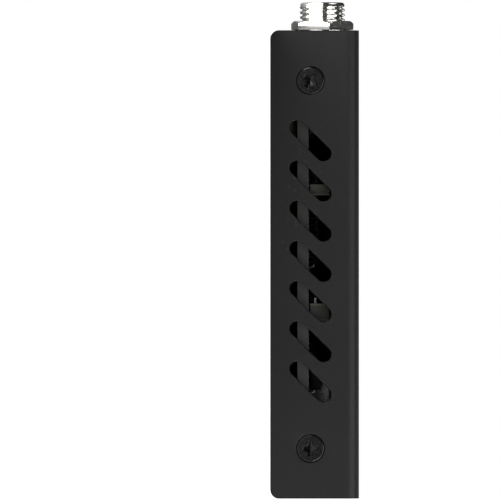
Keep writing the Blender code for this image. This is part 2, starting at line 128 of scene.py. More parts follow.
class ANALYZER_PG_screws(bpy.types.PropertyGroup):
    head: size("Head radius", float(SCREW_HIGH[2] - SCREW_LOW[2]) / 2, "Radius of the head")
    shank: size("Shank radius", 1.0, "Radius of the shank")
    wing: size("Recess wing", 0.58, "Width of a wing of the cross recess")
    reach: size("Recess reach", 1.15, "Reach of the cross recess from the centre")
    depth: size("Recess depth", 0.9, "Depth of the recess at its centre")
    turn: angle("Recess turn", 20, "Turn that the first screw's recess starts from")


class ANALYZER_PG_jack(bpy.types.PropertyGroup):
    pitch: size("Thread pitch", 0.706, "Pitch of the thread")
    crest: size("Crest radius", 3.175, "Outer radius of the thread")
    depth: size("Thread depth", 0.4, "Depth of the thread")
    flats: size("Across flats", 8.0, "Width of the nut across its flats")
    turn: angle("Nut turn", 17.5, "Turn of the nut at rest")


class ANALYZER_PG_finish(bpy.types.PropertyGroup):
    coat: colour("Coat", (0.0055, 0.0055, 0.0055), "Powder coat")
    coat_roughness: factor("Coat roughness", 0.5, "Roughness of the powder coat")
    screw: colour("Screw", (0.003, 0.003, 0.0031), "Blackened screws")
    nickel: colour("Nickel", (0.86, 0.85, 0.82), "Plating of the jack and its nut")
    tin: colour("Tin", (0.62, 0.62, 0.6), "Tin plate of the socket's shell and the oscillator's lid")
    gold: colour("Gold", (0.86, 0.62, 0.26), "Gold plate of contacts and pins")
    mask: colour("Solder mask", (0.012, 0.03, 0.05), "Solder mask of the board")
    laminate: colour("Laminate", (0.0095, 0.0095, 0.0072), "Bare edge of the board")
    white: colour("White plastic", (0.84, 0.84, 0.82), "Insulating body of the data socket")
    epoxy: colour("Epoxy", (0.02, 0.02, 0.021), "Moulded packages")


class ANALYZER_PG_stage(bpy.types.PropertyGroup):
    distance: bpy.props.FloatProperty(name="Camera distance", default=2.5, unit="LENGTH",
                                      description="From the near flange to the camera")
    width: size("View width", 70.46, "Width that the camera sees at the near flange")
    aim_y: size("Aim along", -2.03, "Where the camera aims along the box", low=-100.0)
    aim_z: size("Aim height", -2.86, "Height that the camera aims at", low=-100.0)
    floor: colour("Floor", (0.93, 0.93, 0.93), "Pale floor")
    front_light: power("Front light", 2.6, "the large soft box over the slotted flange")
    back_light: power("Back light", 0.35, "the soft box over the plain flange")
    jack_light: power("Jack light", 0.3, "the soft box past the jack's end")
    socket_light: power("Socket light", 0.25, "the small soft box near the socket's end")
    card_light: power("Card light", 1.7, "the bright card that the nut and the thread reflect")
    ambient: factor("Ambient", 0.04, "Brightness of the room around the object")
    glow: factor("Floor glow", 0.7, "How much the floor is lifted towards white where the camera sees it")


# Surfaces as arrays

def points_at(*coordinates):
    """Points whose coordinates are arrays or numbers that broadcast to one grid."""
    return np.stack(np.broadcast_arrays(*coordinates), axis=-1)


def quads(rows, columns, around=False, start=0):
    """Corner numbers of a grid's faces; around joins the last column to the first."""
    numbers = start + np.arange(rows * columns).reshape(rows, columns)
    if around:
        numbers = np.concatenate((numbers, numbers[:, :1]), axis=1)
    a, b, c, d = numbers[:-1, :-1], numbers[:-1, 1:], numbers[1:, 1:], numbers[1:, :-1]
    return np.stack((a, b, c, d), axis=-1).reshape(-1, 4)


def lathe(profile, segments=96, angles=None):
    """A turned surface: radius and height rows carried round local Z."""
    profile = np.asarray(profile, dtype=float)
    turn = np.linspace(0, math.tau, segments, endpoint=False) if angles is None else angles
    radius, height = profile[:, :1], profile[:, 1:]
    return points_at(radius * np.cos(turn), radius * np.sin(turn), height)


def rounded_box(low, high, radius, steps=3):
    """A ball of the given radius whose points are pushed out to the nearest inner corner of the box.

    Each quadrant of longitude and each half of latitude keeps its own corner, so the stretches
    between them come out flat."""
    low, high = np.asarray(low, float), np.asarray(high, float)
    centre, half = (low + high) / 2, (high - low) / 2 - radius
    quarter = np.linspace(0, math.pi / 2, steps + 1)
    around = np.concatenate([quarter + k * math.pi / 2 for k in range(4)])
    across = np.repeat([[1, 1], [-1, 1], [-1, -1], [1, -1]], steps + 1, axis=0)
    rise = np.concatenate((quarter - math.pi / 2, quarter))
    side = np.repeat([-1, 1], steps + 1)
    x = radius * np.cos(rise)[:, None] * np.cos(around) + half[0] * across[:, 0]
    y = radius * np.cos(rise)[:, None] * np.sin(around) + half[1] * across[:, 1]
    z = (radius * np.sin(rise) + half[2] * side)[:, None]
    body = points_at(x, y, z) + centre
    corners = [(-1, -1), (1, -1), (-1, 1), (1, 1)]
    lids = [np.array([[centre[0] + sx * half[0], centre[1] + sy * half[1], level] for sx, sy in corners])
            .reshape(2, 2, 3) for level in (low[2], high[2])]
    return [(body, True), (lids[0], False), (lids[1], False)]


def ribbons(paths, across, thick, taper=1.0):
    """Flat strips: each path of points gets a rectangular section, wide across and thick along the
    path's normal. paths is (strips, points, 3), across the half-width vector, and taper scales the
    section at each point."""
    paths, across = np.asarray(paths, float), np.asarray(across, float)
    share = np.broadcast_to(np.asarray(taper, float), paths.shape[1:2])[None, :, None]
    normal = np.cross(np.gradient(paths, axis=1), across)
    normal *= share * thick / 2 / np.linalg.norm(normal, axis=-1, keepdims=True)
    wide = across * share
    section = np.stack((paths + wide + normal, paths - wide + normal, paths - wide - normal,
                        paths + wide - normal), axis=2)
    made = []
    for strip in section:
        made.append((strip, True))
        made += [(strip[end, [0, 1, 3, 2]].reshape(2, 2, 3), False) for end in (0, -1)]
    return made


def onto(points, origin, along):
    """Turn arrays drawn along local Z so that Z runs along a direction, and move them to an origin."""
    turn = np.array(Vector(along).to_track_quat("Z", "Y").to_matrix())
    return points @ turn.T + np.asarray(origin, float)


def smooth_step(value, low, high):
    """0 up to low, 1 from high, and between them three times t squared less twice t cubed."""
    t = np.clip((value - low) / (high - low), 0.0, 1.0)
    return t * t * (3 - 2 * t)


# Pieces

MERGE = 2e-6
SHARP = 32


def new_piece(name, patches, finish, nodes=(), body=CHASSIS, closed=True, sharp=SHARP):
    """Join patches of points into one mesh, merge their seams and turn every face outwards."""
    points, faces, start = [], [], 0
    for grid, around in patches:
        rows, columns = grid.shape[:2]
        points.append(grid.reshape(-1, 3))
        faces.append(quads(rows, columns, around, start))
        start += rows * columns
    mesh = bpy.data.meshes.new(name)
    mesh.from_pydata(np.concatenate(points) * MM, [], np.concatenate(faces))
    tidy(mesh, closed)
    mesh.shade_smooth()
    mesh.set_sharp_from_angle(angle=math.radians(sharp))
    return settle(name, mesh, finish, nodes, body)


def tidy(mesh, closed):
    """Merge seams and poles and turn the faces outwards; an open sheet's largest face turns up."""
    bm = bmesh.new()
    bm.from_mesh(mesh)
    bmesh.ops.remove_doubles(bm, verts=bm.verts, dist=MERGE)
    bmesh.ops.dissolve_degenerate(bm, edges=bm.edges, dist=1e-7)
    bmesh.ops.recalc_face_normals(bm, faces=bm.faces)
    if not closed and max(bm.faces, key=lambda face: face.calc_area()).normal.z < 0:
        bmesh.ops.reverse_faces(bm, faces=bm.faces)
    bm.to_mesh(mesh)
    bm.free()


def settle(name, mesh, finish, nodes, body=CHASSIS):
    """Link a piece, give it its finish, hang it on the body it rides on and hide the nodes it stands for."""
    obj = bpy.data.objects.new(name, mesh)
    bpy.context.scene.collection.objects.link(obj)
    mesh.materials.clear()
    mesh.materials.append(finishes()[finish])
    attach(obj, body)
    if nodes:
        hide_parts(*nodes)
    return obj


def ease(obj, width):
    """Round off every edge that turns by more than 35 degrees, with a bevel left on the piece."""
    bevel = obj.modifiers.new("eased_edges", "BEVEL")
    bevel.width = width * MM
    bevel.segments = 2
    bevel.limit_method = "ANGLE"
    bevel.angle_limit = math.radians(35)
    bevel.use_clamp_overlap = False
    bevel.harden_normals = False


def eased_copy(name, node, width, finish):
    """A copy of a node's mesh with its loose triangles merged, flats dissolved and edges eased."""
    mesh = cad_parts[node].data.copy()
    mesh.name = name
    bm = bmesh.new()
    bm.from_mesh(mesh)
    bmesh.ops.remove_doubles(bm, verts=bm.verts, dist=MERGE)
    bmesh.ops.dissolve_limit(bm, angle_limit=math.radians(0.5), verts=bm.verts, edges=bm.edges)
    bm.to_mesh(mesh)
    bm.free()
    mesh.shade_smooth()
    mesh.set_sharp_from_angle(angle=math.radians(SHARP))
    ease(settle(name, mesh, finish, (node,)), width)


def coat_node(node, finish):
    """Dress a carried-over node in a new finish through its own material slots."""
    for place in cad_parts[node].material_slots:
        place.material = finishes()[finish]


# Shader groups

def plug(tree, socket, value):
    """Link an output to an input socket, or set the socket to a number, a vector or a colour."""
    if isinstance(value, bpy.types.NodeSocket):
        tree.links.new(value, socket)
    else:
        socket.default_value = (*value, 1.0) if socket.type == "RGBA" else value


def add_node(tree, kind, inputs=None, **options):
    """Add a node, set its own options, then fill its input sockets by name or number."""
    node = tree.nodes.new(kind)
    for key, value in options.items():
        setattr(node, key, value)
    for key, value in (inputs or {}).items():
        plug(tree, node.inputs[key], value)
    return node


def noise(tree, place, scale, detail, roughness=0.5):
    return add_node(tree, "ShaderNodeTexNoise", {
        "Vector": place, "Scale": scale, "Detail": detail, "Roughness": roughness}).outputs["Fac"]


def ramp(tree, value, low, high, out_low=0.0, out_high=1.0):
    """Stretch a value's range, clamped at both ends."""
    return add_node(tree, "ShaderNodeMapRange", {
        "Value": value, "From Min": low, "From Max": high, "To Min": out_low, "To Max": out_high,
    }).outputs["Result"]


def math_node(tree, operation, first, second=0.0):
    return add_node(tree, "ShaderNodeMath", {0: first, 1: second}, operation=operation).outputs[0]


def mix_colour(tree, share, first, second):
    """The first colour where the share is 0, the second where it is 1."""
    mixer = add_node(tree, "ShaderNodeMix", {0: share, 6: first, 7: second}, data_type="RGBA")
    return mixer.outputs[2]


def shader_group(name, inputs, outputs):
    """A node group whose inputs are named with their defaults: its tree, what comes in, what goes
    out, and the place on the piece."""
    group = bpy.data.node_groups.new(name, "ShaderNodeTree")
    for label, default in inputs.items():
        kind = "NodeSocketVector" if isinstance(default, tuple) else "NodeSocketFloat"
        group.interface.new_socket(label, in_out="INPUT", socket_type=kind).default_value = default
    for label in outputs:
        group.interface.new_socket(label, in_out="OUTPUT", socket_type="NodeSocketFloat")
    into, out = group.nodes.new("NodeGroupInput").outputs, group.nodes.new("NodeGroupOutput").inputs
    return group, into, out, add_node(group, "ShaderNodeTexCoord").outputs["Object"]


def grain_group():
    """Fine grain over slow mottling: a height for bumps and a mask for colour and roughness."""
    group, into, out, place = shader_group(
        "grain_and_mottle", {"Grain Scale": 3000.0, "Mottle Scale": 120.0}, ("Height", "Mask"))
    plug(group, out["Height"], noise(group, place, into["Grain Scale"], 3.0, 0.6))
    slow = noise(group, place, into["Mottle Scale"], 4.0, 0.55)
    plug(group, out["Mask"], ramp(group, slow, 0.3, 0.7))
    return group


def drawn_group():
    """Grain stretched along one axis, as drawn or turned metal has."""
    group, into, out, place = shader_group(
        "drawn_lines", {"Stretch": (1.0, 1.0, 1.0), "Scale": 900.0}, ("Height", "Mask"))
    stretch = add_node(group, "ShaderNodeVectorMath", {0: place, 1: into["Stretch"]}, operation="MULTIPLY")
    lines = noise(group, stretch.outputs[0], into["Scale"], 4.0, 0.65)
    plug(group, out["Height"], lines)
    plug(group, out["Mask"], ramp(group, lines, 0.35, 0.68))
    return group


def dust_group():
    """Sparse small specks, from the near cells of a scattered pattern."""
    group, into, out, place = shader_group("dust_specks", {"Scale": 500.0, "Amount": 0.5}, ("Mask",))
    cells = add_node(group, "ShaderNodeTexVoronoi", {"Vector": place, "Scale": into["Scale"]})
    near = ramp(group, cells.outputs["Distance"], 0.05, 0.16, 1.0, 0.0)
    where = ramp(group, noise(group, place, 60.0, 3.0), 0.55, 0.75)
    speck = math_node(group, "MULTIPLY", near, where)
    plug(group, out["Mask"], math_node(group, "MULTIPLY", speck, into["Amount"]))
    return group


def scuff_group():
    """Scuffs: broad cloudy patches broken up by thin slanting lines."""
    group, into, out, place = shader_group("handling_scuffs", {"Scale": 90.0, "Amount": 0.5}, ("Mask",))
    slant = add_node(group, "ShaderNodeMapping", {
        "Vector": place, "Rotation": (0.3, 0.5, 0.7), "Scale": (1.0, 14.0, 5.0)})
    lines = ramp(group, noise(group, slant.outputs[0], into["Scale"], 5.0, 0.7), 0.58, 0.72)
    patch = ramp(group, noise(group, place, 45.0, 2.0), 0.48, 0.66)
    both = math_node(group, "MULTIPLY", lines, patch)
    plug(group, out["Mask"], math_node(group, "MULTIPLY", both, into["Amount"]))
    return group


GROUPS = {}
GROUP_MAKERS = {"grain": grain_group, "lines": drawn_group, "dust": dust_group, "scuffs": scuff_group}


def effect(tree, key, **values):
    """Place a shared effect in a material with its own values; each group is built once."""
    if key not in GROUPS:
        GROUPS[key] = GROUP_MAKERS[key]()
    inputs = {label.replace("_", " "): value for label, value in values.items()}
    return add_node(tree, "ShaderNodeGroup", inputs, node_tree=GROUPS[key]).outputs


# Finishes

DUST = (0.16, 0.16, 0.155)
PALE_DUST = (0.3, 0.3, 0.29)


class Finish:
    """A Principled material with short calls for what feeds it; its constants sit on its own sockets."""

    def __init__(self, name, **constants):
        self.material = bpy.data.materials.new(name)
        self.material.use_nodes = True
        self.tree = self.material.node_tree
        self.shader = self.tree.nodes["Principled BSDF"]
        for label, value in constants.items():
            self.shader.inputs[label.replace("_", " ")].default_value = value

    def feed(self, label, source):
        self.tree.links.new(source, self.shader.inputs[label])

    def tint(self, share, first, second):
        self.feed("Base Color", mix_colour(self.tree, share, first, second))

    def roughness(self, mask, low, high):
        self.feed("Roughness", ramp(self.tree, mask, 0.0, 1.0, low, high))

    def bumped(self, height, depth, strength):
        """Bump the surface, with its depth in millimetres, and hand over the finished material."""
        bump = add_node(self.tree, "ShaderNodeBump", {
            "Strength": strength, "Distance": depth * MM, "Height": height})
        self.feed("Normal", bump.outputs["Normal"])
        return self.material


def lighter(value, amount):
    """A colour times an amount, at most 1."""
    return tuple(min(1.0, part * amount) for part in value)


def powder_coat(look):
    """Satin powder coat: orange-peel grain, slow mottling, scuffs that shine a little, and dust."""
    finish = Finish("powder_coat", IOR=1.27)
    tree = finish.tree
    grain = effect(tree, "grain", Grain_Scale=2600.0, Mottle_Scale=70.0)
    dust = effect(tree, "dust", Scale=900.0, Amount=0.12)
    scuffs = effect(tree, "scuffs", Scale=110.0, Amount=0.5)
    base = mix_colour(tree, grain["Mask"], look.coat, lighter(look.coat, 1.18))
    worn = mix_colour(tree, scuffs["Mask"], base, lighter(look.coat, 1.6))
    finish.tint(dust["Mask"], worn, DUST)
    rough = ramp(tree, grain["Mask"], 0.0, 1.0, look.coat_roughness - 0.03, look.coat_roughness + 0.04)
    shine = math_node(tree, "MULTIPLY", scuffs["Mask"], 0.12)
    finish.feed("Roughness", math_node(tree, "SUBTRACT", rough, shine))
    return finish.bumped(grain["Height"], 0.012, 0.5)


def blackened_steel(look):
    """Black oxide on the screws: fine grain and small scuffs."""
    finish = Finish("blackened_steel", IOR=1.33)
    tree = finish.tree
    grain = effect(tree, "grain", Grain_Scale=5200.0, Mottle_Scale=900.0)
    scuffs = effect(tree, "scuffs", Scale=420.0, Amount=0.35)
    base = mix_colour(tree, grain["Mask"], look.screw, lighter(look.screw, 1.9))
    finish.tint(scuffs["Mask"], base, lighter(look.screw, 4.0))
    finish.roughness(grain["Mask"], 0.08, 0.17)
    return finish.bumped(grain["Height"], 0.01, 0.6)


def plated(name, tone, roughness, stretch=(1.0, 1.0, 1.0), scale=900.0, depth=0.002):
    """Plate over drawn or turned metal: fine lines and a slow tarnish."""
    finish = Finish(name, Metallic=1.0)
    tree = finish.tree
    lines = effect(tree, "lines", Stretch=stretch, Scale=scale)
    grain = effect(tree, "grain", Grain_Scale=4200.0, Mottle_Scale=260.0)
    finish.tint(grain["Mask"], tone, lighter(tone, 0.86))
    streak = ramp(tree, lines["Mask"], 0.0, 1.0, roughness, roughness + 0.07)
    cloud = math_node(tree, "MULTIPLY", grain["Mask"], 0.05)
    finish.feed("Roughness", math_node(tree, "ADD", streak, cloud))
    return finish.bumped(lines["Height"], depth, 0.35)


def moulded(name, tone, roughness, grain_scale=2400.0, depth=0.006, **constants):
    """Moulded plastic, epoxy or ceramic: spark-eroded grain, faint flow mottling and dust."""
    finish = Finish(name, **constants)
    tree = finish.tree
    grain = effect(tree, "grain", Grain_Scale=grain_scale, Mottle_Scale=320.0)
    dust = effect(tree, "dust", Scale=600.0, Amount=0.25)
    finish.tint(dust["Mask"], mix_colour(tree, grain["Mask"], tone, lighter(tone, 0.9)), PALE_DUST)
    finish.roughness(grain["Mask"], roughness - 0.04, roughness + 0.05)
    return finish.bumped(grain["Height"], depth, 0.5)


def solder_masked(look):
    """Board: tracks under the mask on its faces, and woven laminate where its edge is bare."""
    finish = Finish("solder_masked_board", IOR=1.5)
    tree = finish.tree
    place = add_node(tree, "ShaderNodeTexCoord").outputs
    tracks = add_node(tree, "ShaderNodeTexBrick", {
        "Vector": place["Object"], "Scale": 520.0, "Mortar Size": 0.16, "Brick Width": 2.6,
        "Row Height": 0.5})
    copper = ramp(tree, tracks.outputs["Fac"], 0.3, 0.6, 1.0, 0.0)
    face = mix_colour(tree, copper, look.mask, lighter(look.mask, 2.2))
    weave = effect(tree, "lines", Stretch=(1.0, 1.0, 9.0), Scale=1500.0)
    edge = mix_colour(tree, weave["Mask"], look.laminate, lighter(look.laminate, 1.5))
    normal = add_node(tree, "ShaderNodeSeparateXYZ", {0: place["Normal"]}).outputs
    flat = ramp(tree, math_node(tree, "ABSOLUTE", normal["Z"]), 0.4, 0.6)
    finish.tint(flat, edge, face)
    finish.roughness(flat, 0.7, 0.32)
    return finish.bumped(math_node(tree, "MULTIPLY", copper, flat), 0.03, 0.4)


def clear_rod():
    """Clear moulded plastic with a faint flow mottling."""
    finish = Finish("light_rod", Roughness=0.08, IOR=1.49, Transmission_Weight=0.85)
    grain = effect(finish.tree, "grain", Grain_Scale=3000.0, Mottle_Scale=500.0)
    finish.tint(grain["Mask"], (0.9, 0.92, 0.92), (0.78, 0.82, 0.83))
    return finish.bumped(grain["Height"], 0.002, 0.3)


FINISHES = {}


def finishes():
    """All finishes, built once from the settings."""
    if FINISHES:
        return FINISHES
    look = bpy.context.scene.analyzer_finish
    FINISHES.update(
        coat=powder_coat(look), screw=blackened_steel(look),
        nickel=plated("nickel_plate", look.nickel, 0.07, (1.0, 40.0, 1.0), 700.0, 0.0015),
        tin=plated("tin_plate", look.tin, 0.2, (1.0, 0.08, 1.0)),
        gold=plated("gold_plate", look.gold, 0.16, (1.0, 0.1, 1.0)),
        solder=plated("bright_solder", (0.7, 0.7, 0.68), 0.24),
        dull=plated("dull_plate", (0.07, 0.067, 0.053), 0.4),
        white=moulded("white_insulator", look.white, 0.42),
        # The black finish is the header's own black plastic, and on the contact pockets it is painted shade
        # for their deep openings.
        black=moulded("black_insulator", (0.018, 0.018, 0.019), 0.46),
        epoxy=moulded("moulded_epoxy", look.epoxy, 0.55, 5200.0, 0.01),
        ferrite=moulded("sintered_ferrite", (0.013, 0.012, 0.0075), 0.5, 3800.0, 0.02),
        tantalum=moulded("capacitor_case", (0.42, 0.24, 0.05), 0.4),
        ceramic=moulded("ceramic_body", (0.018, 0.016, 0.01), 0.4, 4800.0, 0.004),
        polymer=moulded("waxy_polymer", (0.86, 0.86, 0.84), 0.38, 2600.0, 0.004, Subsurface_Weight=0.1),
        board=solder_masked(look), rod=clear_rod())
    return FINISHES


# Cover

ACROSS_CELL = 16
UP_CELL = 12
FILL_COLUMNS = 6
CELL_HALF_HEIGHT = 3.1
SCREW_CELL_HALF = 2.5


def cell_loop(centre, half, shear, row):
    """The edge of a cell, counter-clockwise from its lower left, as (y, z) points; a shear of 1
    leans its sides over at 45 degrees."""
    s, t = np.linspace(-1, 1, ACROSS_CELL + 1), np.linspace(-1, 1, UP_CELL + 1)
    high = CELL_HALF_HEIGHT
    y = np.concatenate((half * s[:-1] - shear * high, half + shear * high * t[:-1],
                        half * s[:0:-1] + shear * high, -half + shear * high * t[:0:-1]))
    z = np.concatenate((0 * s[:-1] - high, high * t[:-1], 0 * s[:-1] + high, high * t[:0:-1]))
    return points_at(centre + y, row + z)


def round_loop(centre, radius, row):
    """A round loop from its lower left, with as many points in each quarter as a cell's side has."""
    quarters = [np.linspace(0, math.pi / 2, count, endpoint=False) + k * math.pi / 2
                for k, count in enumerate((ACROSS_CELL, UP_CELL, ACROSS_CELL, UP_CELL))]
    turn = np.concatenate(quarters) - 0.75 * math.pi
    return points_at(centre + radius * np.cos(turn), row + radius * np.sin(turn))


def slot_loop(centre, length, width, row):
    """A slot with round ends, leaning at 45 degrees, point for point with its cell's edge."""
    reach, half = (length - width) / 2, width / 2
    cap, side = np.linspace(0, math.pi, ACROSS_CELL + 1)[:-1], np.linspace(-reach, reach, UP_CELL + 1)
    bow, fall, straight = half * np.sin(cap), half * np.cos(cap), 0 * side[:-1]
    u = np.concatenate((-reach - bow, side[:-1], reach + bow, side[:0:-1]))
    v = np.concatenate((fall, straight - half, -fall, straight + half))
    lean = math.sqrt(0.5)
    return points_at(centre + lean * (u - v), row + lean * (u + v))


def between(first, second, shares):
    """Rows of points part of the way from one curve to another."""
    return np.stack([(1 - share) * first + share * second for share in shares])


def flange_layout(set_up, end):
    """Places along the flange: the slots, a screw, and the columns of an end band, which start on
    the round free corner."""
    slots = set_up.slot_middle + (np.arange(set_up.slots) - (set_up.slots - 1) / 2) * set_up.pitch
    screw = abs(middle("cover_screw_1")[1])
    corner = end - set_up.corner + set_up.corner * np.sin(np.linspace(math.pi / 2, 0, 9))
    band = np.concatenate((corner, np.linspace(corner[-1], screw + SCREW_CELL_HALF, 4)[1:]))
    return slots, screw, band


def flange_breaks(set_up, end, shift):
    """All columns along one edge of the row of cells, from end to end."""
    slots, screw, band = flange_layout(set_up, end)
    half, s = set_up.pitch / 2, np.linspace(-1, 1, ACROSS_CELL + 1)
    first, last = slots[0] - half + shift, slots[-1] + half + shift
    inner = screw - SCREW_CELL_HALF
    runs = [-band, -screw + SCREW_CELL_HALF * s, np.linspace(-inner, first, FILL_COLUMNS + 1),
            *[slot + shift + half * s for slot in slots], np.linspace(last, inner, FILL_COLUMNS + 1),
            screw + SCREW_CELL_HALF * s, band[::-1]]
    joined = np.concatenate(runs)
    return joined[np.concatenate(([True], np.diff(joined) > 1e-6))]


def flange_patches(set_up, side, half, end):
    """One flange: a row of cells, bands that fill between, and the strip below. The cells of the
    flange on the +X side hold the slots; on the other flange they are filled to their middles."""
    slots, screw, band = flange_layout(set_up, end)
    row, high, lean, made = set_up.row, CELL_HALF_HEIGHT, set_up.pitch / 2, []

    def add(grid, around=False, sunk=0.0):
        made.append((points_at(side * (half - sunk), grid[..., 0], grid[..., 1]), around))

    for slot in slots:
        edge = cell_loop(slot, lean, 1.0, row)
        if side > 0:
            hole = slot_loop(slot, set_up.slot_length, set_up.slot_width, row)
            add(between(edge, hole, (0, 0.45, 0.8, 0.93, 1)), True)
        else:
            add(between(edge, np.broadcast_to(edge.mean(axis=0), edge.shape), (0, 0.5, 1)), True)
    for centre in (-screw, screw):
        grid, sunk = screw_cell(set_up, centre, row)
        add(grid, True, sunk)
    inner = screw - SCREW_CELL_HALF
    rise = np.linspace(-high, high, UP_CELL + 1)[:, None]
    share = np.linspace(0, 1, FILL_COLUMNS + 1)
    for left, right in ((-inner, slots[0] - lean + rise), (slots[-1] + lean + rise, inner)):
        add(points_at(left + (right - left) * share, row + rise))
    for columns in (-band, band):
        add(points_at(columns, row + rise))
    # The strip's lower edge is level, and rises on a quarter round at the two free corners.
    along = flange_breaks(set_up, end, -high)
    over = np.clip(np.abs(along) - (end - set_up.corner), 0, set_up.corner)
    low = set_up.corner - np.sqrt(set_up.corner ** 2 - over ** 2)
    foot, head = points_at(along, low), points_at(along, row - high)
    add(between(foot, head, np.linspace(0, 1, 6)))
    return made


def screw_cell(set_up, centre, row):
    """A cell whose hole has a pressed shoulder: the sheet turns inwards on a quarter round. Gives
    the (y, z) grid and how far each of its rows is sunk."""
    drop = 0.14
    shoulder = set_up.seat + set_up.shoulder
    edge, start = cell_loop(centre, SCREW_CELL_HALF, 0.0, row), round_loop(centre, shoulder, row)
    bend = np.linspace(0, math.pi / 2, 7)[1:]
    radii = shoulder - set_up.shoulder * np.sin(bend)
    rings = [round_loop(centre, radius, row) for radius in radii]
    grid = np.concatenate((between(edge, start, (0, 1)), np.stack(rings)))
    sunk = np.concatenate((np.zeros(2), drop * (1 - np.cos(bend))))
    return grid, sunk[:, None]


def web_patch(set_up, half, end, top):
    """The section from flange to flange, over both bends, carried along the cover."""
    bend, start = set_up.bend, set_up.row + CELL_HALF_HEIGHT
    turn = np.linspace(0, math.pi / 2, 13)
    climb = np.linspace(start, top - bend, 4)[:-1]
    x = np.concatenate((half + 0 * climb, half - bend + bend * np.cos(turn)))
    z = np.concatenate((climb, top - bend + bend * np.sin(turn)))
    flat = np.linspace(half - bend, bend - half, 25)[1:-1]
    section_x = np.concatenate((x, flat, -x[::-1]))
    section_z = np.concatenate((z, top + 0 * flat, z[::-1]))
    along = flange_breaks(set_up, end, CELL_HALF_HEIGHT)
    return points_at(section_x[:, None], along, section_z[:, None]), False


class ANALYZER_OT_cover(bpy.types.Operator):
    """Fold the cover: one sheet with two bends, slanted vent slots and pressed screw seats"""
    bl_idname = "analyzer.cover"
    bl_label = "Cover"

    def execute(self, context):
        set_up = context.scene.analyzer_cover
        half, end, top = COVER_HIGH
        patches = [web_patch(set_up, half, end, top)]
        for side in (-1, 1):
            patches += flange_patches(set_up, side, half, end)
        cover = new_piece("folded_cover", patches, "coat", ("top_cover",), closed=False)
        # The patches are the outer skin, and the sheet's thickness goes inwards.
        wall = cover.modifiers.new("sheet", "SOLIDIFY")
        wall.thickness = set_up.sheet * MM
        wall.offset = -1.0
        wall.use_even_offset = True
        ease(cover, set_up.edge)
        return {"FINISHED"}


class ANALYZER_OT_tray(bpy.types.Operator):
    """Ease the edges of the folded base with its two end panels"""
    bl_idname = "analyzer.tray"
    bl_label = "Base"

    def execute(self, context):
        eased_copy("folded_base", "base_tray", 0.07, "coat")
        return {"FINISHED"}


# Cover screws

def recess_depth(x, y, screws, turn):
    """Depth of the cross recess: four wings and a round middle, deepest at the centre."""
    u = np.abs(x * math.cos(turn) + y * math.sin(turn))
    v = np.abs(y * math.cos(turn) - x * math.sin(turn))
    far, near, radius = np.maximum(u, v), np.minimum(u, v), np.hypot(x, y)
    half, ease_in, slope = screws.wing / 2, 0.07, 0.2
    wing = (1 - smooth_step(near, half - ease_in, half + ease_in)) * (
        1 - smooth_step(far, screws.reach - 3 * ease_in, screws.reach))
    middle_radius = 1.15 * screws.wing
    heart = 1 - smooth_step(radius, middle_radius - ease_in, middle_radius + ease_in)
    return np.maximum(wing, heart) * screws.depth * (1 - slope * radius / screws.reach)


def screw_surface(screws, length, turn):
    """A countersunk screw round local Z: a turned profile whose face is lowered by the recess."""
    head, shank, rows, below_flush = screws.head, screws.shank, 58, -0.02
    face = points_at(np.linspace(0, head - 0.16, rows), below_flush)
    rim = [(head - 0.08, -0.035), (head - 0.02, -0.075), (head, -0.13)]
    neck = [(shank + 0.1, -0.77), (shank, -0.85)]
    tip = [(shank, -length + 0.4), (shank - 0.3, -length), (0.0, -length)]
    grid = lathe(np.concatenate((face, rim, neck, tip)), 144)
    grid[:rows, :, 2] -= recess_depth(grid[:rows, :, 0], grid[:rows, :, 1], screws, turn)
    return grid


class ANALYZER_OT_screws(bpy.types.Operator):
    """Turn the four countersunk cross-recess screws"""
    bl_idname = "analyzer.screws"
    bl_label = "Cover screws"

    def execute(self, context):
        screws = context.scene.analyzer_screws
        length = SCREW_HIGH[0] - SCREW_LOW[0]
        turn_step = 0.6
        for number in range(1, 5):
            node = f"cover_screw_{number}"
            centre = middle(node)
            side = math.copysign(1.0, centre[0])
            grid = screw_surface(screws, length, screws.turn + number * turn_step)
            placed = onto(grid, (side * COVER_HIGH[0], centre[1], centre[2]), (side, 0, 0))
            new_piece(f"countersunk_screw_{number}", [(placed, True)], "screw", (node,), sharp=50)
        return {"FINISHED"}


# Coaxial jack

def jack_frame():
    """The jack's axis where it leaves the front panel, and the direction it leaves in."""
    centre = middle("jack_washer")
    return (centre[0], COVER_LOW[1], centre[2]), (0, -1, 0)


def threaded_rows(jack, low, high, turn):
    """Rows of a right-hand thread: the ridge stands where height over pitch equals turns round. The
    groove's flanks run from its floor to the crest, and the mouth's outer edge rounds in."""
    row_step, floor_share, flank_share, soft = 0.035, 0.08, 0.62, 0.4
    height = np.linspace(high, low, int((high - low) / row_step))[:, None]
    phase = (height / jack.pitch - turn / math.tau) % 1.0
    flank = np.clip((np.abs(2 * phase - 1) - floor_share) / flank_share, 0, 1)
    ridge = soft * smooth_step(flank, 0, 1) + (1 - soft) * flank
    back = high - height
    groove = jack.depth * (1 - ridge) * smooth_step(back, 0.25, 0.8)
    round_in = 1 - np.sqrt(1 - (1 - np.clip(back / 0.6, 0, 1)) ** 2)
    radius = jack.crest - groove - 0.3 * round_in
    return points_at(radius * np.cos(turn), radius * np.sin(turn), height)


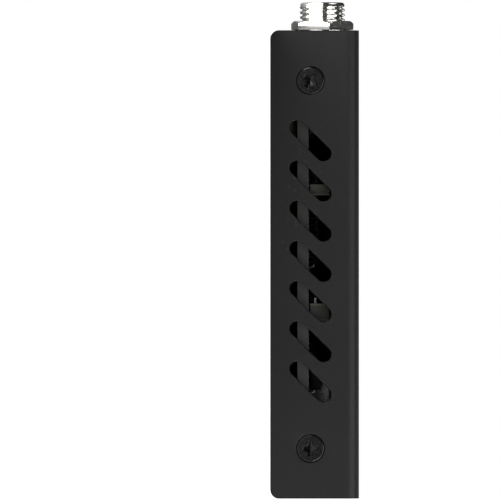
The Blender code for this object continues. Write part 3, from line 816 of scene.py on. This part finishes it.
def jack_surface(jack, reach, back):
    """The jack's body: bore, mouth, lead-in, helical thread, shoulder and rear barrel as one skin.
    Each (radius, height) profile runs out along the bore and back along the outside."""
    turn = np.linspace(0, math.tau, 160, endpoint=False)
    crest, bore, mouth, lip = jack.crest, 2.1, 2.3, reach - 1.6
    rear_bore, rear_barrel, step = 1.2, 1.85, -1.8
    shoulder, shoulder_top, shoulder_foot = 4.0, -0.9, -2.2
    inside = [(rear_bore, back), (rear_bore, step), (bore, step), (bore, lip), (mouth, lip),
              (mouth, reach - 0.14), (mouth + 0.12, reach), (crest - 0.46, reach),
              (crest - 0.35, reach - 0.02)]
    thread = threaded_rows(jack, shoulder_top + 0.1, reach - 0.05, turn)
    outside = [(crest, shoulder_top + 0.04), (crest + 0.02, shoulder_top),
               (shoulder - 0.12, shoulder_top), (shoulder, shoulder_top - 0.1),
               (shoulder, shoulder_foot + 0.1), (shoulder - 0.1, shoulder_foot),
               (rear_barrel + 0.1, shoulder_foot), (rear_barrel, shoulder_foot - 0.1),
               (rear_barrel, back + 0.1), (rear_barrel - 0.1, back), (rear_bore, back)]
    return np.concatenate((lathe(inside, angles=turn), thread, lathe(outside, angles=turn)))


def ring_surface(inner, outer, low, high, edge):
    """A flat ring with eased rims, as a closed turned profile."""
    profile = [(inner + edge, low), (outer - edge, low), (outer, low + edge), (outer, high - edge),
               (outer - edge, high), (inner + edge, high), (inner, high - edge), (inner, low + edge),
               (inner + edge, low)]
    return lathe(profile)


def nut_surface(jack, low, high):
    """A hexagonal nut: at each height the radius is the hexagon's, or the chamfer cone's if less. The
    hexagon's is half its flats over the cosine of the turn from the nearest flat's middle. The cone's
    grows by the root of 3 for each step down from the outer face."""
    sixth = np.linspace(0, math.pi / 3, 24, endpoint=False)
    turn = np.concatenate([sixth + k * math.pi / 3 for k in range(6)])
    flat, bore, tall = jack.flats / 2, jack.crest + 0.03, high - low
    hexagon = flat / np.cos((turn % (math.pi / 3)) - math.pi / 6)
    chamfer, cone_share, ease_in, lead = 0.42, 0.985, 0.05, 0.16
    rise = np.concatenate((np.linspace(0, tall - chamfer, 4), np.linspace(tall - chamfer, tall, 16)[1:]))
    cone = cone_share * flat + (tall - rise) * math.sqrt(3.0)
    foot = np.maximum(0, ease_in - rise)
    outer = np.minimum(hexagon[None, :], cone[:, None]) - foot[:, None]
    inner = np.array([[bore + lead, low], [bore, low + lead], [bore, high - lead], [bore + lead, high]])
    spin = turn + math.pi / 2 - jack.turn
    side = points_at(outer * np.cos(spin), outer * np.sin(spin), low + rise[:, None])
    hole = lathe(inner[::-1], angles=spin)
    return np.concatenate((side, hole, side[:1]))


class ANALYZER_OT_jack(bpy.types.Operator):
    """Cut the jack's thread, chamfer its nut and seat its washer and insulator"""
    bl_idname = "analyzer.jack"
    bl_label = "Coaxial jack"

    def execute(self, context):
        jack = context.scene.analyzer_jack
        origin, along = jack_frame()
        reach, back = origin[1] - JACK_LOW[1], origin[1] - JACK_HIGH[1]
        nut = nut_surface(jack, origin[1] - NUT_HIGH[1], origin[1] - NUT_LOW[1])
        washer = ring_surface(inner=3.2, outer=4.0, low=0.04, high=0.14, edge=0.02)
        insulator = ring_surface(inner=0.75, outer=2.0, low=-1.7, high=reach - 1.7, edge=0.08)
        for name, grid, finish, body, node in (
                ("threaded_jack", jack_surface(jack, reach, back), "nickel", CHASSIS, "jack_body"),
                ("hexagon_nut", nut, "nickel", "jack_nut", "jack_nut"),
                ("thin_washer", washer, "nickel", CHASSIS, "jack_washer"),
                ("jack_dielectric", insulator, "polymer", CHASSIS, "jack_insulator")):
            new_piece(name, [(onto(grid, origin, along), True)], finish, (node,), body, sharp=28)
        coat_node("jack_contact", "gold")
        return {"FINISHED"}


# Data socket

def socket_loop(inset, y, half, low, high, cut):
    """The socket's section at a given inset, its two upper corners cut off. Every corner is a
    quadratic curve from edge to edge."""
    chamfer = cut - 0.6 * inset
    left, right, base, top = -half + inset, half - inset, low + inset, high - inset
    sharp = np.array([(left, base), (right, base), (right, top - chamfer), (right - chamfer, top),
                      (left + chamfer, top), (left, top - chamfer)])
    round_off = max(0.12, 0.45 - inset)
    edges = [np.roll(sharp, shift, axis=0) - sharp for shift in (1, -1)]
    start, stop = (sharp + round_off * edge / np.linalg.norm(edge, axis=1, keepdims=True) for edge in edges)
    share = np.linspace(0, 1, 6)[None, :, None]
    curve = ((1 - share) ** 2 * start[:, None] + 2 * share * (1 - share) * sharp[:, None]
             + share ** 2 * stop[:, None])
    x, z = curve.reshape(-1, 2).T
    return points_at(x, y, z)


def loft(stations, shape):
    """Carry the socket's section through (inset, y) stations."""
    return np.stack([socket_loop(inset, y, *shape) for inset, y in stations])


def closed_end(grid, row):
    """One more row, drawn together at the middle of an end row."""
    centre = grid[row].mean(axis=0, keepdims=True)
    return np.repeat(centre, grid.shape[1], axis=0)[None]


class ANALYZER_OT_socket(bpy.types.Operator):
    """Draw the data socket: steel shell with spring leaves, insulator, tongue and contacts"""
    bl_idname = "analyzer.socket"
    bl_label = "Data socket"

    def execute(self, context):
        low, high = span("usb_shell")
        wall, leaf_half, leaf_thick = 0.35, 1.75, 0.2
        half = (SOCKET_HIGH[0] - SOCKET_LOW[0]) / 2 + wall + 0.1
        shape = (half, low[2], high[2], 1.5)
        lip, nose, front, rear = 0.09, 0.03, high[1], low[1]
        stations = [(0, rear), (0, front - lip), (nose, front - nose), (lip, front), (wall - lip, front),
                    (wall - nose, front - nose), (wall, front - lip), (wall, rear), (0, rear)]
        # Each leaf starts in the wall, bows into the opening and comes back: (distance in, dip).
        bow = np.array([(0.25, 0.0), (1.0, 0.16), (2.2, 0.42), (3.2, 0.5), (4.2, 0.38), (5.4, 0.05)])
        level = (low[2] + high[2]) / 2 - 0.35
        leaf = [points_at(side * (half - wall * 0.6 - bow[:, 1]), front - bow[:, 0], level)
                for side in (-1, 1)]
        leaves = ribbons(np.stack(leaf), (0, 0, leaf_half), leaf_thick)
        tabs, tab_long, tab_low, tab_high = [], 2.4, BOARD_TOP + 0.1, BOARD_TOP + 0.45
        tab_starts = (19.0, 27.0)
        for side in (-1, 1):
            for y in tab_starts:
                near, far = sorted((side * (half - 0.1), side * high[0]))
                tabs += rounded_box((near, y, tab_low), (far, y + tab_long, tab_high), 0.1)
        shell = [(loft(stations, shape), True), *leaves, *tabs]
        new_piece("socket_shell", shell, "tin", ("usb_shell",), sharp=40)
        self.insulator(shape, wall, rear, front)
        return {"FINISHED"}

    def insulator(self, shape, wall, rear, front):
        (low, high), tongue_wide, tongue_half = span("usb_contact_1"), 2.8, 1.59
        back, tip = low[1] - 0.1, high[1]
        body = loft([(wall + 0.1, rear + 0.2), (wall + 0.1, back - 0.05), (wall + 0.15, back)], shape)
        body = np.concatenate((closed_end(body, 0), body, closed_end(body, -1)))
        centre = (high[2] + span("usb_contact_3")[0][2]) / 2
        tongue = rounded_box((-tongue_wide, back - 0.6, centre - tongue_half),
                             (tongue_wide, front - 0.9, centre + tongue_half), 0.28, 5)
        new_piece("socket_insulator", [(body, True), *tongue], "white", ("usb_housing",))
        # A contact comes out of its pocket, runs level over the tongue and ends turned down to it.
        y = np.array([back, back + 1.2, tip - 1.6, tip - 0.7, tip - 0.2, tip])
        lift = np.array([0.5, 0.34, 0.32, 0.36, 0.26, 0.08])
        # Black boxes set just proud of the back wall, above and below the tongue, stand for the contacts'
        # pocket openings: painted shade where the holes go deep.
        pocket_shade_patches, pocket_half = [], 0.62
        for number in range(1, 5):
            node = f"usb_contact_{number}"
            x, _, z = middle(node)
            face = math.copysign(1.0, z - centre)
            path = points_at(x, y, centre + face * (tongue_half + lift))
            strip = ribbons(path[None], (0.48, 0, 0), 0.18)
            new_piece(f"socket_contact_{number}", strip, "gold", (node,))
            near, far = sorted((centre + face * 1.62, centre + face * 2.95))
            pocket_shade_patches += rounded_box((x - pocket_half, back - 0.3, near), (x + pocket_half, back + 0.03, far),
                                   0.02, 2)
        new_piece("contact_pockets", pocket_shade_patches, "black")


# Channel header

PIN_HALF = 0.32


def bent_pins(nodes):
    """Centre lines of right-angle pins: straight in, round a quarter bend and down, from each node."""
    lines, bend = [], 0.45
    turn = np.linspace(0, math.pi / 2, 7)
    for node in nodes:
        low, high = span(node)
        y_far, z_top = high[1] - PIN_HALF, high[2] - PIN_HALF
        y = np.concatenate(([low[1], low[1] + 0.45], y_far - bend + bend * np.sin(turn), [y_far, y_far]))
        z = np.concatenate(([z_top, z_top], z_top - bend + bend * np.cos(turn), [low[2] + 0.3, low[2]]))
        lines.append(points_at((low[0] + high[0]) / 2, y, z))
    return np.stack(lines)


class ANALYZER_OT_header(bpy.types.Operator):
    """Mould the channel header's block and bend its pins"""
    bl_idname = "analyzer.header"
    bl_label = "Channel header"

    def execute(self, context):
        low, high = span("channel_header")
        columns, gap, blocks = 5, 0.01, []
        pitch = (high[0] - low[0]) / columns
        for left in low[0] + pitch * np.arange(columns):
            blocks += rounded_box((left + gap, low[1], low[2]), (left + pitch - gap, high[1], high[2]), 0.28)
        new_piece("header_block", blocks, "black", ("channel_header",))
        nodes = tuple(f"header_pin_{number:02d}" for number in range(1, 11))
        lines = bent_pins(nodes)
        taper = np.ones(lines.shape[1])
        taper[[0, -1]] = 0.55, 0.6
        new_piece("header_pins", ribbons(lines, (PIN_HALF, 0, 0), 2 * PIN_HALF, taper), "gold", nodes)
        return {"FINISHED"}


# Board

LEADS = {  # sides with leads, leads on a side, pitch and width
    "logic_chip": ("xy", 25, 0.5, 0.22),
    "usb_controller": ("xy", 14, 0.65, 0.3),
    "memory_chip": ("x", 16, 0.8, 0.34),
    "config_flash": ("x", 4, 1.27, 0.42),
    "input_buffer_1": ("y", 10, 0.65, 0.24),
    "input_buffer_2": ("y", 10, 0.65, 0.24),
    "voltage_regulator": ("y", 3, 2.3, 0.7),
}


def gull_wings(low, high, sides, count, pitch, width):
    """Leads on opposite sides of a package: out of its waist, round an S bend and flat on the board."""
    waist, thick = (high[2] - low[2]) * 0.45, 0.14
    out = np.array([-0.2, 0.22, 0.32, 0.46, 0.56, 0.85])
    rise = np.array([waist, waist, waist - 0.08, 0.1, 0, 0])
    offsets = (np.arange(count)[:, None] - (count - 1) / 2) * pitch
    made = []
    for axis in ["xy".index(side) for side in sides]:
        other, across = 1 - axis, np.zeros(3)
        across[other] = width / 2
        for end, edge in ((-1, low[axis]), (1, high[axis])):
            path = np.zeros((count, len(out), 3))
            path[..., axis] = edge + end * out
            path[..., other] = (low + high)[other] / 2 + offsets
            path[..., 2] = low[2] + rise
            made += ribbons(path, across, thick)
    return made


class ANALYZER_OT_board(bpy.types.Operator):
    """Finish the board with its standoffs, its screws, and the packages with their leads"""
    bl_idname = "analyzer.board"
    bl_label = "Board"

    def execute(self, context):
        eased_copy("printed_board", "main_board", 0.04, "board")
        for number in range(1, 5):
            for name in ("board_standoff", "board_screw"):
                eased_copy(f"plated_{name}_{number}", f"{name}_{number}", 0.06, "dull")
        for node, layout in LEADS.items():
            low, high = span(node)
            new_piece(f"{node}_body", rounded_box(low + (0, 0, 0.1), high, 0.12), "epoxy", (node,))
            new_piece(f"{node}_leads", gull_wings(low, high, *layout), "solder")
        return {"FINISHED"}


def end_terminals(low, high, axis, depth):
    """Two plated caps over the ends of a chip part, a little proud of its body."""
    made, proud = [], 0.03
    for edge in (low[axis] + depth, high[axis] + proud):
        near, far = low - proud, high + proud
        near[axis], far[axis] = edge - depth - proud, edge
        near[2] = low[2]
        made += rounded_box(near, far, 0.07)
    return made


class ANALYZER_OT_passives(bpy.types.Operator):
    """Make the inductor, the capacitors, the resistor array and the oscillator"""
    bl_idname = "analyzer.passives"
    bl_label = "Passive parts"

    def execute(self, context):
        inset = 0.03
        for node, finish, cap in (("power_inductor", "ferrite", 0.35), ("bulk_capacitor", "tantalum", 0.8),
                                  ("input_capacitor", "ceramic", 0.22)):
            low, high = span(node)
            low, high = low + inset, high - inset
            new_piece(f"{node}_body", rounded_box(low, high, 0.16, 4), finish, (node,))
            new_piece(f"{node}_terminals", end_terminals(low, high, 1, cap), "dull")
        array = rounded_box(*span("termination_array"), 0.12)
        new_piece("resistor_array", array, "epoxy", ("termination_array",))
        low, high = span("clock_oscillator")
        step, wall = (high[2] - low[2]) * 0.4, np.array([0.25, 0.25, 0])
        base = rounded_box(low, (high[0], high[1], low[2] + step), 0.1)
        new_piece("oscillator_base", base, "ceramic", ("clock_oscillator",))
        lid = rounded_box(low + wall + (0, 0, step - 0.1), high - wall, 0.3, 5)
        new_piece("oscillator_lid", lid, "tin")
        return {"FINISHED"}


class ANALYZER_OT_light(bpy.types.Operator):
    """Turn the clear light rod and mould the lamp behind it"""
    bl_idname = "analyzer.light"
    bl_label = "Status light"

    def execute(self, context):
        low, high = span("light_pipe")
        x, _, z = middle("light_pipe")
        radius, length, dome, chamfer = (high[0] - low[0]) / 2, high[1] - low[1], 0.12, 0.1
        bend = np.linspace(0, math.pi / 2, 7)
        crown = points_at(radius - dome + dome * np.sin(bend), -dome + dome * np.cos(bend))
        foot = [(radius, -length + chamfer), (radius - chamfer, -length), (0, -length)]
        rod = onto(lathe(np.concatenate(([(0, 0.0)], crown, foot)), 64), (x, low[1], z), (0, -1, 0))
        new_piece("clear_light_rod", [(rod, True)], "rod", ("light_pipe",))
        lamp = rounded_box(*span("status_lamp"), 0.15)
        new_piece("side_looking_lamp", lamp, "white", ("status_lamp",))
        return {"FINISHED"}


# Stage

FLOOR_REACH = 0.35
FLOOR_DROP = 0.00005
SOFT_BOXES = {  # setting: name, place, what it faces, width and length, in metres
    "front_light": ("front_soft_box", (0.246, 0.22, 0.315), (0, 0.22, 0), 0.356, 0.53),
    "back_light": ("back_soft_box", (-0.273, 0.22, 0.293), (0, 0.22, 0), 0.155, 0.53),
    "jack_light": ("jack_end_soft_box", (0.05, -0.4, 0.28), (0, -0.03, 0), 0.2, 0.3),
    "socket_light": ("socket_end_soft_box", (0.11, 0.14, 0.06), (0, 0.02, 0), 0.08, 0.12),
    "card_light": ("bright_card", (0.1595, -0.184, 0.0008), (0.1595, -0.184, 1), 0.3, 0.29),
}


def soft_box(name, place, aim, wide, long, energy):
    """A rectangular light that faces a point and isn't seen itself; its long side runs level."""
    light = bpy.data.lights.new(name, "AREA")
    light.shape, light.size, light.size_y = "RECTANGLE", long, wide
    light.energy = energy
    lamp = bpy.data.objects.new(name, light)
    bpy.context.scene.collection.objects.link(lamp)
    lamp.location = place
    lamp.rotation_euler = (Vector(aim) - Vector(place)).to_track_quat("-Z", "Y").to_euler()
    lamp.visible_camera = False
    return lamp


def pale_floor(stage):
    """A level sheet under the box with a faint mottle, lifted towards white where the camera sees it."""
    finish = Finish("pale_floor", Roughness=0.9, Emission_Color=(1.0, 1.0, 1.0, 1.0))
    mottle = effect(finish.tree, "grain", Grain_Scale=60.0, Mottle_Scale=3.0)
    finish.tint(mottle["Mask"], stage.floor, lighter(stage.floor, 0.99))
    seen = add_node(finish.tree, "ShaderNodeLightPath").outputs["Is Camera Ray"]
    finish.feed("Emission Strength", ramp(finish.tree, seen, 0.0, 1.0, 0.0, stage.glow))
    reach = np.linspace(-FLOOR_REACH, FLOOR_REACH, 3)
    grid = points_at(reach[:, None], reach, -FLOOR_DROP)
    mesh = bpy.data.meshes.new("floor")
    mesh.from_pydata(grid.reshape(-1, 3), [], quads(3, 3))
    tidy(mesh, closed=False)
    mesh.materials.append(finish.material)
    floor = bpy.data.objects.new("floor", mesh)
    bpy.context.scene.collection.objects.link(floor)


def room(ambient):
    """White where the camera looks past the box, and a dim even grey for everything else."""
    world = bpy.data.worlds.new("studio")
    world.use_nodes = True
    tree = world.node_tree
    path = add_node(tree, "ShaderNodeLightPath")
    shade = mix_colour(tree, path.outputs["Is Camera Ray"], (ambient,) * 3, (1.0,) * 3)
    tree.links.new(shade, tree.nodes["Background"].inputs["Color"])
    bpy.context.scene.world = world


class ANALYZER_OT_stage(bpy.types.Operator):
    """Lay the floor, hang the lights and set the camera level with the side of the box"""
    bl_idname = "analyzer.stage"
    bl_label = "Stage"

    def execute(self, context):
        stage = context.scene.analyzer_stage
        pale_floor(stage)
        room(stage.ambient)
        lamps = {key: soft_box(*box, getattr(stage, key)) for key, box in SOFT_BOXES.items()}
        lamps["card_light"].visible_diffuse = False
        context.scene.view_settings.view_transform = "Standard"
        # The lens takes in the stage's width at the near flange, and the jack's way is up in the view.
        lens = bpy.data.cameras.new("camera")
        lens.sensor_width = 36.0
        lens.lens = stage.distance * lens.sensor_width / (stage.width * MM)
        lens.clip_start, lens.clip_end = 0.01, 50.0
        camera = bpy.data.objects.new("camera", lens)
        context.scene.collection.objects.link(camera)
        face = COVER_HIGH[0] * MM
        eye = Vector((face + stage.distance, stage.aim_y * MM, COVER_HIGH[2] / 2 * MM))
        back = (eye - Vector((face, stage.aim_y * MM, stage.aim_z * MM))).normalized()
        up = Vector((0, -1, 0))
        turn = Matrix((up.cross(back), up, back)).transposed()
        camera.matrix_world = Matrix.Translation(eye) @ turn.to_4x4()
        context.scene.camera = camera
        return {"FINISHED"}


# Add-on

SETTINGS = {
    "analyzer_cover": ANALYZER_PG_cover, "analyzer_screws": ANALYZER_PG_screws,
    "analyzer_jack": ANALYZER_PG_jack, "analyzer_finish": ANALYZER_PG_finish,
    "analyzer_stage": ANALYZER_PG_stage,
}
OPERATORS = (
    ANALYZER_OT_cover, ANALYZER_OT_tray, ANALYZER_OT_screws, ANALYZER_OT_jack, ANALYZER_OT_socket,
    ANALYZER_OT_header, ANALYZER_OT_board, ANALYZER_OT_passives, ANALYZER_OT_light, ANALYZER_OT_stage,
)


class ANALYZER_PT_build(bpy.types.Panel):
    """Lists the pieces and their settings"""
    bl_idname = "ANALYZER_PT_build"
    bl_label = "Logic analyzer"
    bl_space_type = "VIEW_3D"
    bl_region_type = "UI"
    bl_category = "Analyzer"

    def draw(self, context):
        for operator in OPERATORS:
            self.layout.operator(operator.bl_idname)
        for key, group in SETTINGS.items():
            box = self.layout.box()
            for name in group.__annotations__:
                box.prop(getattr(context.scene, key), name)


CLASSES = (*SETTINGS.values(), *OPERATORS, ANALYZER_PT_build)


def register():
    for part in CLASSES:
        bpy.utils.register_class(part)
    for key, group in SETTINGS.items():
        setattr(bpy.types.Scene, key, bpy.props.PointerProperty(type=group))


def unregister():
    for key in SETTINGS:
        delattr(bpy.types.Scene, key)
    for part in reversed(CLASSES):
        bpy.utils.unregister_class(part)


def main():
    register()
    for operator in OPERATORS:
        family, name = operator.bl_idname.split(".")
        getattr(getattr(bpy.ops, family), name)()


if __name__ == "__main__":
    main()
